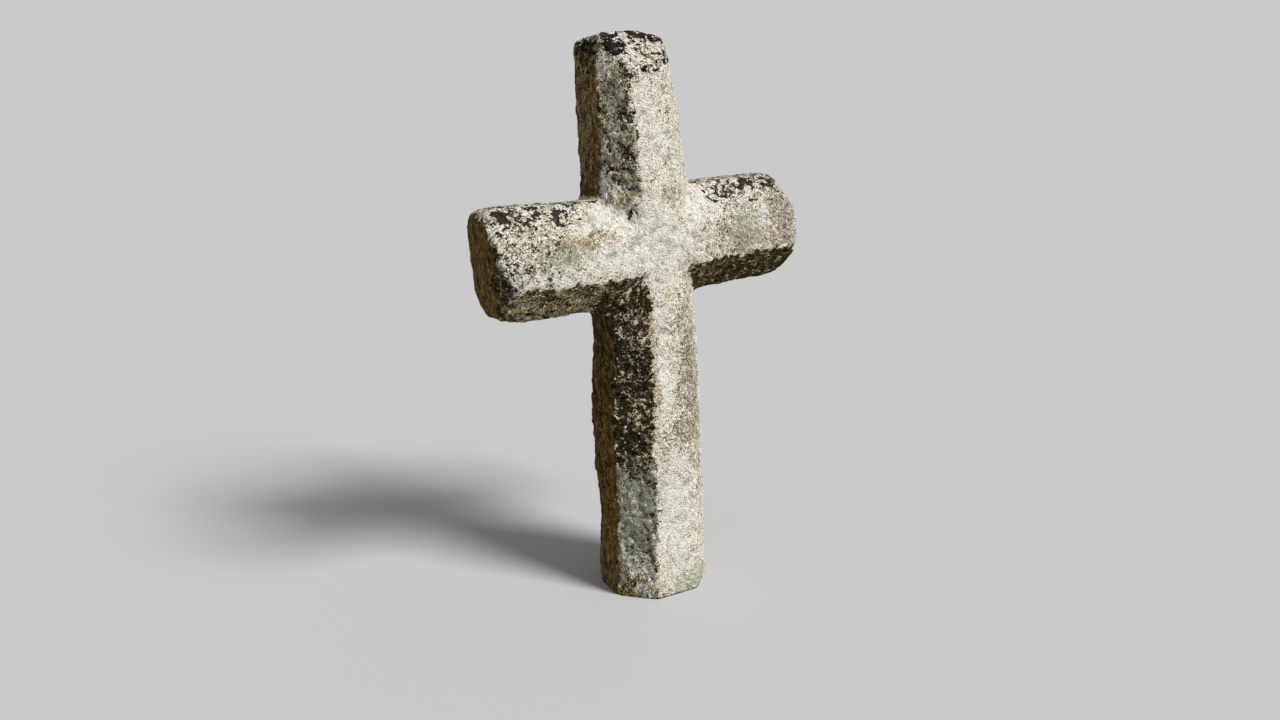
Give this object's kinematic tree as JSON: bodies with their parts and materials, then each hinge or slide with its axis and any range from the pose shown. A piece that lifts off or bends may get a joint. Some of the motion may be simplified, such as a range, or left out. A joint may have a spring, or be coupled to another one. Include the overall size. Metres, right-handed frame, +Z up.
{
  "type": "stone wayside cross",
  "caption": "Weathered granite wayside cross cut from one block, limbs eight-sided with broad chamfers, leaning a little, cut off flat at the turf line.",
  "frame": {"origin": "middle of the shaft's foot, on the flat cut at the turf line", "axes": "+Z up, the front face looks along -Y, the arms run along X"},
  "size_m": [0.9217, 0.2774, 1.5007],
  "materials": {
    "granite": "coarse weathered granite, crusted with pale lichen"
  },
  "bodies": {
    "root": {"cross": "granite"}
  },
  "joints": []
}
